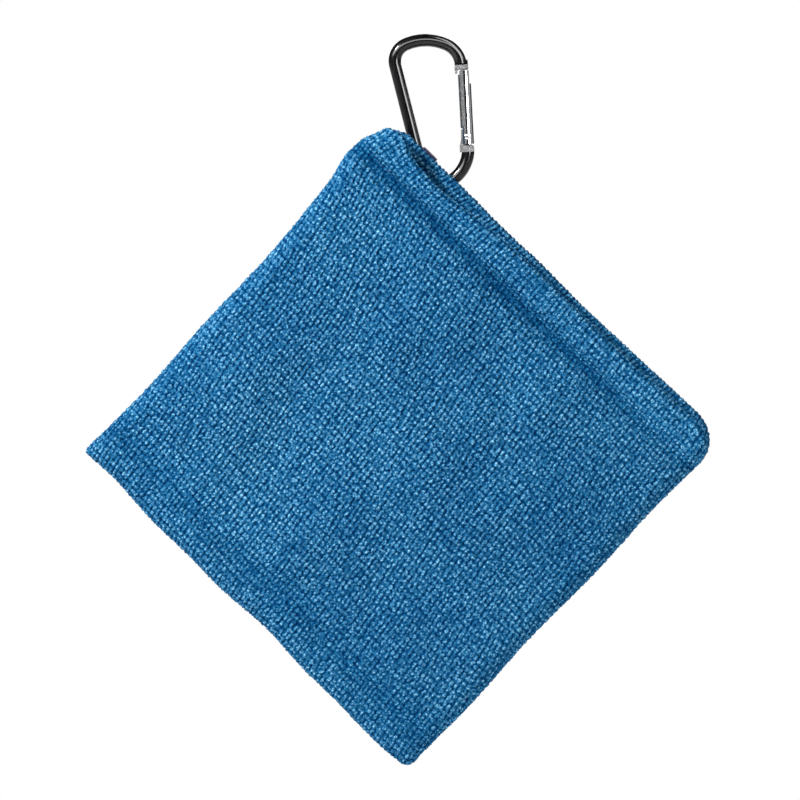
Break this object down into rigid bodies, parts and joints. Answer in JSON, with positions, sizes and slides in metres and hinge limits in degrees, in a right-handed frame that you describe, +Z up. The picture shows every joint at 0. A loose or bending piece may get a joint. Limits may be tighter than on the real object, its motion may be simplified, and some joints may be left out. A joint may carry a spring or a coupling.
{
  "type": "golf towel",
  "caption": "Square terry pocket towel with an open hemmed mouth, hung by a sewn strap loop on a spring-gate carabiner.",
  "frame": {"origin": "inside of the carabiner's top bend, where it hangs on a bag ring", "axes": "+Z up, +X from the carabiner's spine towards its gate, -Y out of the pouch's front face"},
  "size_m": [0.1962, 0.0186, 0.2283],
  "materials": {
    "terry_cloth": "blue microfibre terry",
    "sewing_thread": "matching thread",
    "strap_webbing": "dark woven tape",
    "black_rod": "glossy black",
    "bright_metal": "polished"
  },
  "bodies": {
    "carabiner": {"carabiner_body": "black_rod", "hinge_rivet": "bright_metal"},
    "gate": {"gate_barrel": "bright_metal", "gate_spring": "bright_metal", "spring_plunger": "bright_metal"},
    "strap": {"strap_loop": "strap_webbing"},
    "pouch": {"strap_bar_tack": "sewing_thread", "back_panel": "terry_cloth", "back_hem": "terry_cloth", "back_hem_thread": "sewing_thread", "left_seam": "terry_cloth", "right_seam": "terry_cloth", "bottom_seam": "terry_cloth", "closing_thread": "sewing_thread"},
    "front": {"front_panel": "terry_cloth", "front_hem": "terry_cloth", "front_hem_thread": "sewing_thread"}
  },
  "joints": [
    {"name": "gate_hinge", "type": "hinge", "parent": "carabiner", "child": "gate", "pos_m": [0.01343, 0, -0.02856], "axis": [0, -1, 0], "range_deg": [0, 28], "stiffness_Nm_per_rad": 0.03, "springref_deg": -20.05},
    {"name": "strap_slide", "type": "slide", "parent": "carabiner", "child": "strap", "axis": [-0.247, 0, 0.969], "range_m": [0, 0.026]},
    {"name": "pouch_swing", "type": "hinge", "parent": "strap", "child": "pouch", "pos_m": [0.00101, -0.00305, -0.03471], "axis": [-0.7169, 0, 0.6972], "range_deg": [0, 85]},
    {"name": "mouth_open", "type": "hinge", "parent": "pouch", "child": "front", "pos_m": [-0.0573, -0.01215, -0.1768], "axis": [0.7169, 0, -0.6972], "range_deg": [0, 9], "stiffness_Nm_per_rad": 0.02, "springref_deg": -20.05}
  ]
}
